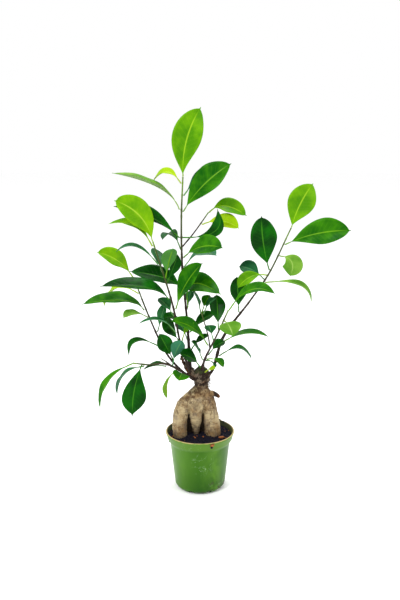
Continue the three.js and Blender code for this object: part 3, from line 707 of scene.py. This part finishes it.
stems = [
    dict(name="leader_stem",
         path=[(-12, -2, 4, 2.2), (-15, 0, 60, 1.3), (-21, 4, 130, 1.1), (-22, 7, 190, 0.9),
               (-20, 9, 239, 0.7)],
         leaves=[
             dict(at=0.34, reach=(40, -26, 22), width=28, arch=0.45, peak=0.25, roll=-50, tone="mid"),
             dict(at=0.44, reach=(-64, 14, 18), width=28, arch=0.08, peak=0.25, roll=35, tone="dark"),
             dict(at=0.55, reach=(40, 30, 8), width=24, arch=0.2, roll=45, tone="pale"),
             dict(at=0.6, reach=(46, -30, 16), width=28, arch=0.12, roll=-50, tone="mid"),
             dict(at=0.7, reach=(40, -12, 35), width=18, arch=-0.34, peak=0.85, roll=-70, tone="dark"),
             dict(at=0.7, reach=(-76, -12, 38), width=30, arch=0.08, roll=30, tone="dark"),
             dict(at=0.83, reach=(56, -8, 56), width=34, arch=0.06, roll=-65, tone="mid"),
             dict(at=0.84, reach=(-78, -10, 43), width=26, arch=0.12, peak=0.25,
                  roll=4, stalk=18, tone="soft"),
             dict(at=0.91, reach=(46, 24, 34), width=20, arch=0.08, roll=-20, tone="pale"),
             dict(at=0.97, reach=(-34, 14, 1), width=16, arch=0.32, roll=26, stalk=5, tone="lime"),
             dict(at=1, reach=(21, -3, 78), width=37, arch=0.08, roll=-90, stalk=2, tone="fresh"),
         ],
         small=[
             dict(at=0.64, reach=(-24, 40, 5), width=18, arch=0.28, roll=10, tone="dark"),
             dict(at=0.26, reach=(-27, -12, 10), width=16, arch=0.1, roll=20, tone="dark"),
             dict(at=0.21, reach=(31, 12, 21), width=18, arch=0.08, roll=-20, tone="dark"),
             dict(at=0.17, reach=(-13, 16, 19), width=16, arch=0.1, roll=20, tone="pale"),
             dict(at=0.33, reach=(5, 14, 20), width=12, arch=0, roll=0, tone="pale"),
             dict(at=0.12, reach=(22, -4, 19), width=10, arch=0.1, roll=-40, tone="dark"),
         ]),
    dict(name="left_stem",
         path=[(-12, -5, 3, 1.6), (-24, -12, 45, 1.1), (-32, -16, 90, 1), (-54, -25, 168, 0.7)],
         leaves=[
             dict(at=0.24, reach=(-20, 20, 28), width=18, arch=0, roll=70, tone="dark"),
             dict(at=0.33, reach=(-44, -8, 13), width=12, arch=0.22, roll=0, tone="pale"),
             dict(at=0.5, reach=(32, -14, 58), width=28, arch=0.06, roll=-60, tone="mid"),
             dict(at=0.58, reach=(-80, -12, 18), width=32, arch=0.1, peak=0.2, roll=15, tone="dark"),
             dict(at=0.69, reach=(12, 24, 30), width=16, arch=0, roll=-60, tone="dark"),
             dict(at=0.74, reach=(10, -24, 38), width=20, arch=0.03, roll=0, tone="mid"),
             dict(at=0.78, reach=(-12, 34, 22), width=18, arch=0, roll=-20, tone="pale"),
             dict(at=0.84, reach=(-50, 8, 13), width=14, arch=0.24, peak=0.65, roll=5, tone="pale"),
             dict(at=0.97, reach=(-52, 12, 24), width=18, arch=0.2, roll=15, tone="bright"),
             dict(at=1, reach=(-42, -8, 47), width=33, arch=0.14,
                  roll=70, stalk=3, tip=0.48, tone="bright"),
         ],
         small=[
             dict(at=0.26, reach=(15, -4, 24), width=10, arch=0.1, roll=-50, tone="fresh"),
             dict(at=0.45, reach=(-19, 16, 18), width=18, arch=0.05, roll=10, tone="pale"),
         ]),
    dict(name="far_left_stem",
         path=[(-8, 2, -6, 1.8), (-20, 0, 2, 1.3), (-40, -8, 28, 1.1), (-60, 2, 68, 0.9),
               (-81, 22, 116, 0.7)],
         leaves=[
             dict(at=0.25, reach=(-16, -10, 36), width=20, arch=0, roll=105, tone="dark"),
             dict(at=0.4, reach=(-38, -8, -10), width=16, arch=0.4, peak=0.75, roll=10, tone="dark"),
             dict(at=0.66, reach=(-27, -28, 6), width=18, arch=0.12, roll=10, tone="soft"),
             dict(at=0.72, reach=(-73, -20, 12), width=30, arch=0.12, peak=0.2, roll=15, tone="mid"),
             dict(at=0.87, reach=(-46, 28, -24), width=20, arch=0.27, roll=20, tone="lime"),
             dict(at=1, reach=(-42, -12, 33), width=27, arch=0.1, roll=45, tone="bright"),
         ],
         small=[
             dict(at=0.19, reach=(-32, -10, 4), width=10, arch=0.1, roll=10, tone="dark"),
             dict(at=0.52, reach=(10, 4, 34), width=14, arch=0, roll=-30, tone="pale"),
         ]),
    dict(name="low_left_stem",
         path=[(-7, -4, -6, 1.8), (-20, -10, 5, 1.3), (-42, -18, 19, 1.2), (-60, -22, 19, 0.9),
               (-80, -25, 22, 0.8)],
         spurs=[(0.42, (-14, -3, 11))],
         leaves=[
             dict(at=0.43, reach=(12, -6, 32), width=18, arch=0.06, roll=60, tone="blue"),
             dict(at=0.84, reach=(-34, 10, -40), width=18, arch=0.19, roll=10, tone="pale"),
             dict(at=0.87, reach=(-12, -6, -62), width=32, arch=0.06,
                  roll=80, stalk=4, tip=1.05, tone="dark"),
             dict(at=1, reach=(-39, -6, -56), width=16, arch=0.17, roll=15, tone="mid"),
         ],
         small=[
             dict(at=0.34, reach=(-11, 6, -39), width=12, arch=0.15, roll=0, tone="fresh"),
             dict(at=0.51, reach=(-27, -6, -3), width=8, arch=0.1, roll=0, tone="dark"),
             dict(at=0.22, reach=(-5, -20, -2), width=22, arch=0.12, roll=20, stalk=3, tone="mid"),
         ]),
    dict(name="right_stem",
         path=[(7, 3, -5, 2.2), (15, 6, 2, 1.6), (28, 13, 42, 1.6), (62, 21, 88, 1),
               (84, 25, 120, 0.9), (111, 32, 176, 0.7)],
         leaves=[
             dict(at=0.15, reach=(40, 6, -6), width=18, arch=0.28, peak=0.6, roll=0, tone="dark"),
             dict(at=0.24, reach=(57, 14, 1), width=20, arch=0.12, roll=-5, tone="mid"),
             dict(at=0.43, reach=(-3, 8, 43), width=25, arch=0, roll=0, tone="dark"),
             dict(at=0.67, reach=(-30, 14, 13), width=22, arch=0.1, roll=40, tone="blue"),
             dict(at=0.66, reach=(58, 6, -28), width=16, arch=0.22, peak=0.75, roll=-20, tone="soft"),
             dict(at=0.7, reach=(-36, -16, -13), width=20, arch=0.15, roll=30, tone="fresh"),
             dict(at=0.73, reach=(-11, -2, 66), width=35, arch=-0.04, roll=90, tip=0.5, tone="dark"),
             dict(at=0.83, reach=(12, -10, -24), width=26, arch=0.4, roll=-55, stalk=4, tone="soft"),
             dict(at=0.9, reach=(78, -8, 18), width=35, arch=0.06, roll=-62, tone="mid"),
             dict(at=1, reach=(24, -3, 53), width=35, arch=0.05, roll=-88, stalk=2, tone="fresh"),
         ]),
    dict(name="front_stem",
         path=[(2, -5, 2, 1.7), (5, -11, 20, 1.2), (20, -19, 55, 0.9), (33, -26, 87, 0.7)],
         leaves=[
             dict(at=0.11, reach=(-25, -14, 21), width=20, arch=0.1, roll=45, tone="dark"),
             dict(at=0.7, reach=(-2, 20, 38), width=20, arch=0, roll=0, tone="dark"),
             dict(at=0.86, reach=(9, -32, -10), width=27, arch=0.1, roll=-10, tone="soft"),
             dict(at=1, reach=(54, -4, 20), width=21, arch=0.24, peak=0.6, roll=-25, tone="mid"),
         ],
         small=[
             dict(at=0.31, reach=(21, 8, 14), width=16, arch=0.1, roll=-20, tone="dark"),
             dict(at=0.54, reach=(-6, 14, 14), width=16, arch=0.05, roll=0, tone="pale"),
             dict(at=0.23, reach=(-14, -8, 25), width=18, arch=0.05, roll=20, tone="dark"),
             dict(at=0.23, reach=(10, 8, -13), width=10, arch=0.2, roll=-10, tone="dark"),
             dict(at=0.26, reach=(20, -6, -9), width=12, arch=0.2, roll=-20, tone="mid"),
             dict(at=0.03, reach=(14, -8, 8), width=8, arch=0.1, roll=-30, tone="lime"),
         ]),
    dict(name="upper_twig",
         path=[(-22, 5, 156, 0.8), (-8, 11, 172, 0.7), (10, 20, 196, 0.6)],
         leaves=[
             dict(at=0.7, reach=(44, -8, -4), width=22, arch=0.14, roll=-45, tone="lime"),
             dict(at=1, reach=(45, -4, -4), width=24, arch=0.2, peak=0.3, roll=-45, tone="fresh"),
         ]),
    dict(name="inner_twig",
         path=[(12, -15, 37, 0.8), (10, -10, 50, 0.7), (2, -5, 78, 0.6)],
         leaves=[
             dict(at=0.1, reach=(-44, -14, 34), width=22, arch=0.12, roll=35, tone="mid"),
         ],
         small=[
             dict(at=1, reach=(-10, -6, 28), width=16, arch=0.05, roll=20, tone="dark"),
             dict(at=0.98, reach=(15, -4, 20), width=12, arch=0.1, roll=-30, tone="pale"),
             dict(at=1, reach=(10, 8, 20), width=14, arch=0.05, roll=-20, tone="mid"),
         ]),
]

stemBark = dict(
    sides=10, girth=1.15, swell=0.28, scarWidth=1.3, scarGap=22, step=1.5, pore=(0.2, 0.15, 0.09),
    spurRadii=(0.9, 0.75, 0.5), spurRise=0.8, spurSteps=14,
    base=(0.02, 0.011, 0.007), middle=(0.03, 0.02, 0.012), olive=(0.05, 0.075, 0.015),
    tip=(0.17, 0.32, 0.02),
)

leaf = dict(
    stalk=8, stalkRadius=0.6, gap=0.3, fold=20, thickness=0.42, steps=28, cells=10,
    ribRadius=0.55, stalkGirth=1.6, ribSteps=20, ripple=0.05, veins=13, blunt=0.97, point=1.6,
    wideAt=1.32, base=0.86, tip=0.62, cup=0.12, least=0.35, ribEnd=0.985, ribTaper=0.8, shine=0.06,
    dust=(0.6, 0.7, 0.5), seed=3,
)

leafTones = dict(
    dark=dict(slot="leaf_dark", deep=(0.001, 0.034, 0.001), light=(0.004, 0.1, 0.001),
              vein=(0.05, 0.22, 0.01), under=(0.02, 0.13, 0.035), gloss=0.3),
    blue=dict(slot="leaf_dark", deep=(0.003, 0.045, 0.014), light=(0.01, 0.11, 0.032),
              vein=(0.07, 0.24, 0.08), under=(0.03, 0.15, 0.075), gloss=0.34),
    mid=dict(slot="leaf_mid", deep=(0.004, 0.08, 0.0005), light=(0.035, 0.19, 0.0005),
             vein=(0.15, 0.36, 0.01), under=(0.06, 0.22, 0.035), gloss=0.34),
    fresh=dict(slot="leaf_fresh", deep=(0.055, 0.21, 0.0003), light=(0.13, 0.335, 0.0005),
               vein=(0.32, 0.52, 0.02), under=(0.17, 0.37, 0.03), gloss=0.38),
    bright=dict(slot="leaf_fresh", deep=(0.09, 0.27, 0.0005), light=(0.185, 0.395, 0.001),
                vein=(0.38, 0.56, 0.04), under=(0.22, 0.4, 0.05), gloss=0.38),
    lime=dict(slot="leaf_fresh", deep=(0.24, 0.42, 0.001), light=(0.36, 0.52, 0.004),
              vein=(0.42, 0.56, 0.04), under=(0.3, 0.48, 0.04), gloss=0.38),
    soft=dict(slot="leaf_pale", deep=(0.07, 0.21, 0.012), light=(0.17, 0.34, 0.035),
              vein=(0.3, 0.47, 0.1), under=(0.21, 0.38, 0.09), gloss=0.38),
    # pale: a bluish green that stands partly for the leaves' own colour and partly for a painted sheen
    pale=dict(slot="leaf_pale", deep=(0.006, 0.075, 0.014), light=(0.028, 0.16, 0.045),
              vein=(0.14, 0.34, 0.1), under=(0.07, 0.24, 0.12), gloss=0.36),
)


def stemFinish():
    finish = Finish("stemBark", 0.65, Specular_IOR_Level=0.2)
    along = finish.split(finish.uv)["X"]
    wander = finish.math("MULTIPLY_ADD", finish.noise(60, 2), 0.3, along)
    colour = finish.mix(finish.ramp(wander, 0.3, 0.75), stemBark["base"], stemBark["middle"])
    colour = finish.mix(finish.ramp(wander, 0.65, 1.0), colour, stemBark["olive"])
    colour = finish.mix(finish.ramp(wander, 1.0, 1.2), colour, stemBark["tip"])
    pores = finish.noise(900, 3, 0.7, stretch=(1, 1, 0.5))
    speckled = finish.math("MULTIPLY", finish.ramp(pores, 0.62, 0.74), 0.4)
    colour = finish.mix(speckled, colour, stemBark["pore"])
    finish.bump(pores, 0.6, 0.3)
    return finish.done(colour, finish.math("MULTIPLY_ADD", pores, 0.3, 0.45))


def bladeLines(finish):
    # how far a point is from the midrib, 0 to 1, and how close it is to a side vein
    u, v, _ = finish.split(finish.uv)
    out = finish.math("ABSOLUTE", finish.math("MULTIPLY_ADD", v, 2.0, -1.0))
    slant = finish.math("MULTIPLY_ADD", out, -0.16, u)
    wave = finish.math("PINGPONG", finish.math("MULTIPLY", slant, float(leaf["veins"])), 0.5)
    vein = finish.math("MULTIPLY", finish.ramp(wave, 0.09, 0.0), finish.ramp(out, 1.0, 0.6))
    return u, out, vein


def leafTop(name, tone):
    finish = Finish(name + "LeafTop", tone["gloss"], Specular_IOR_Level=leaf["shine"])
    u, out, vein = bladeLines(finish)
    clouds = finish.noise(48, 2)
    fleck = finish.noise(420, 3, 0.7)
    shade = finish.math("ADD", clouds, finish.math("MULTIPLY", finish.ramp(u, 0.35, 0.0), 0.18))
    shade = finish.math("ADD", shade, finish.math("MULTIPLY", finish.ramp(out, 0.75, 1.0), 0.12))
    colour = finish.mix(finish.ramp(shade, 0.36, 0.74), tone["deep"], tone["light"])
    colour = finish.mix(finish.math("MULTIPLY", vein, 0.1), colour, tone["vein"])
    midrib = finish.math("MULTIPLY", finish.ramp(out, 0.07, 0.02), finish.ramp(u, 1.0, 0.75))
    colour = finish.mix(finish.math("MULTIPLY", midrib, 0.7), colour, tone["vein"])
    dust = finish.math("MULTIPLY", finish.ramp(fleck, 0.7, 0.78), 0.15)
    colour = finish.mix(dust, colour, leaf["dust"])
    relief = finish.math("MULTIPLY_ADD", fleck, 0.12, finish.math("MULTIPLY", vein, -0.5))
    finish.bump(relief, 0.35, 0.35)
    return finish.done(colour, finish.math("MULTIPLY_ADD", clouds, 0.3, tone["gloss"] - 0.12))


def leafUnder(name, tone):
    finish = Finish(name + "LeafUnder", 0.5, Specular_IOR_Level=leaf["shine"])
    u, out, vein = bladeLines(finish)
    clouds = finish.noise(60, 2)
    dim = tuple(0.75 * c for c in tone["under"])
    colour = finish.mix(finish.ramp(clouds, 0.35, 0.7), dim, tone["under"])
    colour = finish.mix(finish.math("MULTIPLY", vein, 0.2), colour, tone["vein"])
    midrib = finish.math("MULTIPLY", finish.ramp(out, 0.12, 0.04), finish.ramp(u, 1.0, 0.7))
    colour = finish.mix(finish.math("MULTIPLY", midrib, 0.6), colour, tone["vein"])
    finish.bump(finish.math("MULTIPLY_ADD", finish.noise(500, 2), 0.2, vein), 0.4, 0.35)
    return finish.done(colour, finish.math("MULTIPLY_ADD", clouds, 0.2, 0.4))


def leafStalk(name, tone):
    finish = Finish(name + "LeafStalk", 0.45, Specular_IOR_Level=leaf["shine"])
    grain = finish.noise(300, 2)
    dim = tuple(0.5 * c for c in tone["vein"])
    roughness = finish.math("MULTIPLY_ADD", grain, 0.2, 0.35)
    return finish.done(finish.mix(grain, dim, tone["vein"]), roughness)


def stemRows(stem):
    return [(*(crown + Vector(row[:3]) * mm), row[3]) for row in stem["path"]]


def ribOf(rows, one):
    # a leaf's rib: where it leaves the stem's middle, its foot, its bend and its tip
    t = evenlyAt(rows, one["at"])
    start, radius = curveAt(rows, t)
    along = directionAt(rows, t)
    reach = Vector(one["reach"]) * mm
    clear = (leaf["gap"] + leaf["stalkRadius"]) * mm
    if one["at"] == 1:
        foot = start + along * clear
    else:
        foot = start + acrossFrom(along, reach.normalized()) * (radius * mm + clear)
    length = reach.length
    right = reach.cross(Vector((0, 0, 1))).normalized()
    lift = right.cross(reach).normalized()
    bend = foot + reach * one.get("peak", 0.5) + lift * 2 * one["arch"] * length
    roll = math.radians(one["roll"])
    across = right * math.cos(roll) + lift * math.sin(roll)
    stalk = one.get("stalk", leaf["stalk"]) * mm / length
    return dict(start=start, foot=foot, bend=bend, tip=foot + reach, across=across, stalk=stalk)


def ribAt(rib, t):
    spot = rib["foot"] * (1 - t) ** 2 + rib["bend"] * (2 * t * (1 - t)) + rib["tip"] * t ** 2
    along = (rib["bend"] - rib["foot"]) * (1 - t) + (rib["tip"] - rib["bend"]) * t
    along.normalize()
    side = acrossFrom(along, rib["across"])
    return spot, along, side, side.cross(along)


def bladeShare(x):
    # rows of cells lie closer together at both ends of a blade
    return (1 - math.cos(math.pi * (x + 1) / 2)) / 2


def bladeHalf(share, width, tip):
    # blunt at the end, with a tiny point of its own
    full = max(0, math.sin(math.pi * min(share / leaf["blunt"], 1) ** leaf["wideAt"]))
    swell = full ** (leaf["base"] + (tip - leaf["base"]) * share)
    point = leaf["point"] * (1 - share) if share > 0.9 else 0
    return width / 2 * max(swell, point)


def makeLeaf(name, rows, one, finishes, draw, node=None):
    rib = ribOf(rows, one)
    fold = math.radians(leaf["fold"])
    phases = [draw.uniform(0, 6.28) for _ in range(4)]
    waves = draw.uniform(1.2, 2.6)
    bm = bmesh.new()
    uv = bm.loops.layers.uv.verify()
    bmesh.ops.create_grid(bm, x_segments=leaf["steps"], y_segments=leaf["cells"], size=1)
    for face in bm.faces:
        for loop in face.loops:
            loop[uv].uv = (bladeShare(loop.vert.co.x), (loop.vert.co.y + 1) / 2)
    bmesh.ops.reverse_faces(bm, faces=bm.faces)
    for vert in bm.verts:
        share, out = bladeShare(vert.co.x), vert.co.y
        spot, along, side, top = ribAt(rib, rib["stalk"] + share * (1 - rib["stalk"]))
        half = bladeHalf(share, one["width"], one.get("tip", leaf["tip"])) * mm
        ripple = leaf["ripple"] * math.sin(6.28 * waves * share + phases[out > 0]) * out * out
        rise = math.sin(fold) * ((1 + leaf["cup"]) * abs(out) - leaf["cup"] * out * out) + ripple
        wide = max(half * math.cos(fold), leaf["least"] * mm)
        vert.co = spot + side * out * wide + top * half * rise
    bm.normal_update()
    shell = bmesh.ops.solidify(bm, geom=bm.faces[:], thickness=leaf["thickness"] * mm)["geom"]
    for face in shell:
        if isinstance(face, bmesh.types.BMFace):
            face.material_index = 1

    def stalkPlace(step, angle):
        at = step * leaf["ribSteps"]
        t = max(0, at - 1) / (leaf["ribSteps"] - 1)
        spot, along, side, top = ribAt(rib, min(t, leaf["ribEnd"]))
        if at < 0.5:
            spot = rib["start"]
        if at < 0.5 or at > leaf["ribSteps"] - 0.5:
            return spot
        radius = leaf["ribRadius"] * (leaf["stalkGirth"] if t < rib["stalk"] else 1)
        radius *= 1 - leaf["ribTaper"] * t
        spot = spot - top * (leaf["thickness"] * 0.5 + radius * 0.75) * mm
        return spot + (side * math.cos(angle) + top * math.sin(angle)) * radius * mm

    makeTube(bm, leaf["ribSteps"], 6, stalkPlace, material=2)
    bmesh.ops.recalc_face_normals(bm, faces=bm.faces)
    makePiece(name, bm, finishes[one["tone"]], node)


def makeStem(stem, finish, leafFinishes, draw):
    rows = stemRows(stem)
    length = sum((Vector(b[:3]) - Vector(a[:3])).length for a, b in zip(rows, rows[1:])) / mm
    scars = [one["at"] for one in stem["leaves"] + stem.get("small", [])]
    scars += [draw.uniform(0.05, 0.95) for _ in range(int(length / stemBark["scarGap"]))]

    def girth(share):
        bumps = sum(math.exp(-(((share - at) * length / stemBark["scarWidth"]) ** 2)) for at in scars)
        return stemBark["girth"] + stemBark["swell"] * min(bumps, 1.2)

    bm = bmesh.new()
    addLimb(bm, rows, max(20, int(length / stemBark["step"])), stemBark["sides"], girth)
    for at, reach in stem.get("spurs", []):
        start = curveAt(rows, evenlyAt(rows, at))[0]
        end = start + Vector(reach) * mm
        middle = (start + end) / 2 + Vector((0, 0, stemBark["spurRise"] * mm))
        spur = [(*spot, radius) for spot, radius in zip((start, middle, end), stemBark["spurRadii"])]
        addLimb(bm, spur, stemBark["spurSteps"], stemBark["sides"])
    bmesh.ops.recalc_face_normals(bm, faces=bm.faces)
    makePiece(stem["name"], bm, [finish], node=stem["name"])
    for i, one in enumerate(stem["leaves"]):
        name = f"{stem['name']}_leaf_{i + 1}"
        makeLeaf(name, rows, one, leafFinishes, draw, node=name)
    for i, one in enumerate(stem.get("small", [])):
        makeLeaf(f"{stem['name']}_small_leaf_{i + 1}", rows, one, leafFinishes, draw)


stemMaterial = stemFinish()
leafFinishes = {name: [leafTop(name, tone), leafUnder(name, tone), leafStalk(name, tone)]
                for name, tone in leafTones.items()}
leafDraw = random.Random(leaf["seed"])
for stem in stems:
    makeStem(stem, stemMaterial, leafFinishes, leafDraw)
print("stems and leaves are ready")


# Floor

floorPaper = dict(radius=6, drop=0.2, white=(0.99, 0.99, 0.99))  # the radius is in metres


def makeFloor():
    bm = bmesh.new()
    bmesh.ops.create_circle(bm, cap_ends=True, segments=96, radius=floorPaper["radius"])
    bmesh.ops.translate(bm, vec=(0, 0, -floorPaper["drop"] * mm), verts=bm.verts)
    mesh = bpy.data.meshes.new("floor")
    bm.to_mesh(mesh)
    bm.free()
    finish = Finish("floorPaper", 0.9, Specular_IOR_Level=0.1)
    mesh.materials.append(finish.done(floorPaper["white"]))
    floor = bpy.data.objects.new("floor", mesh)
    scene.collection.objects.link(floor)


makeFloor()
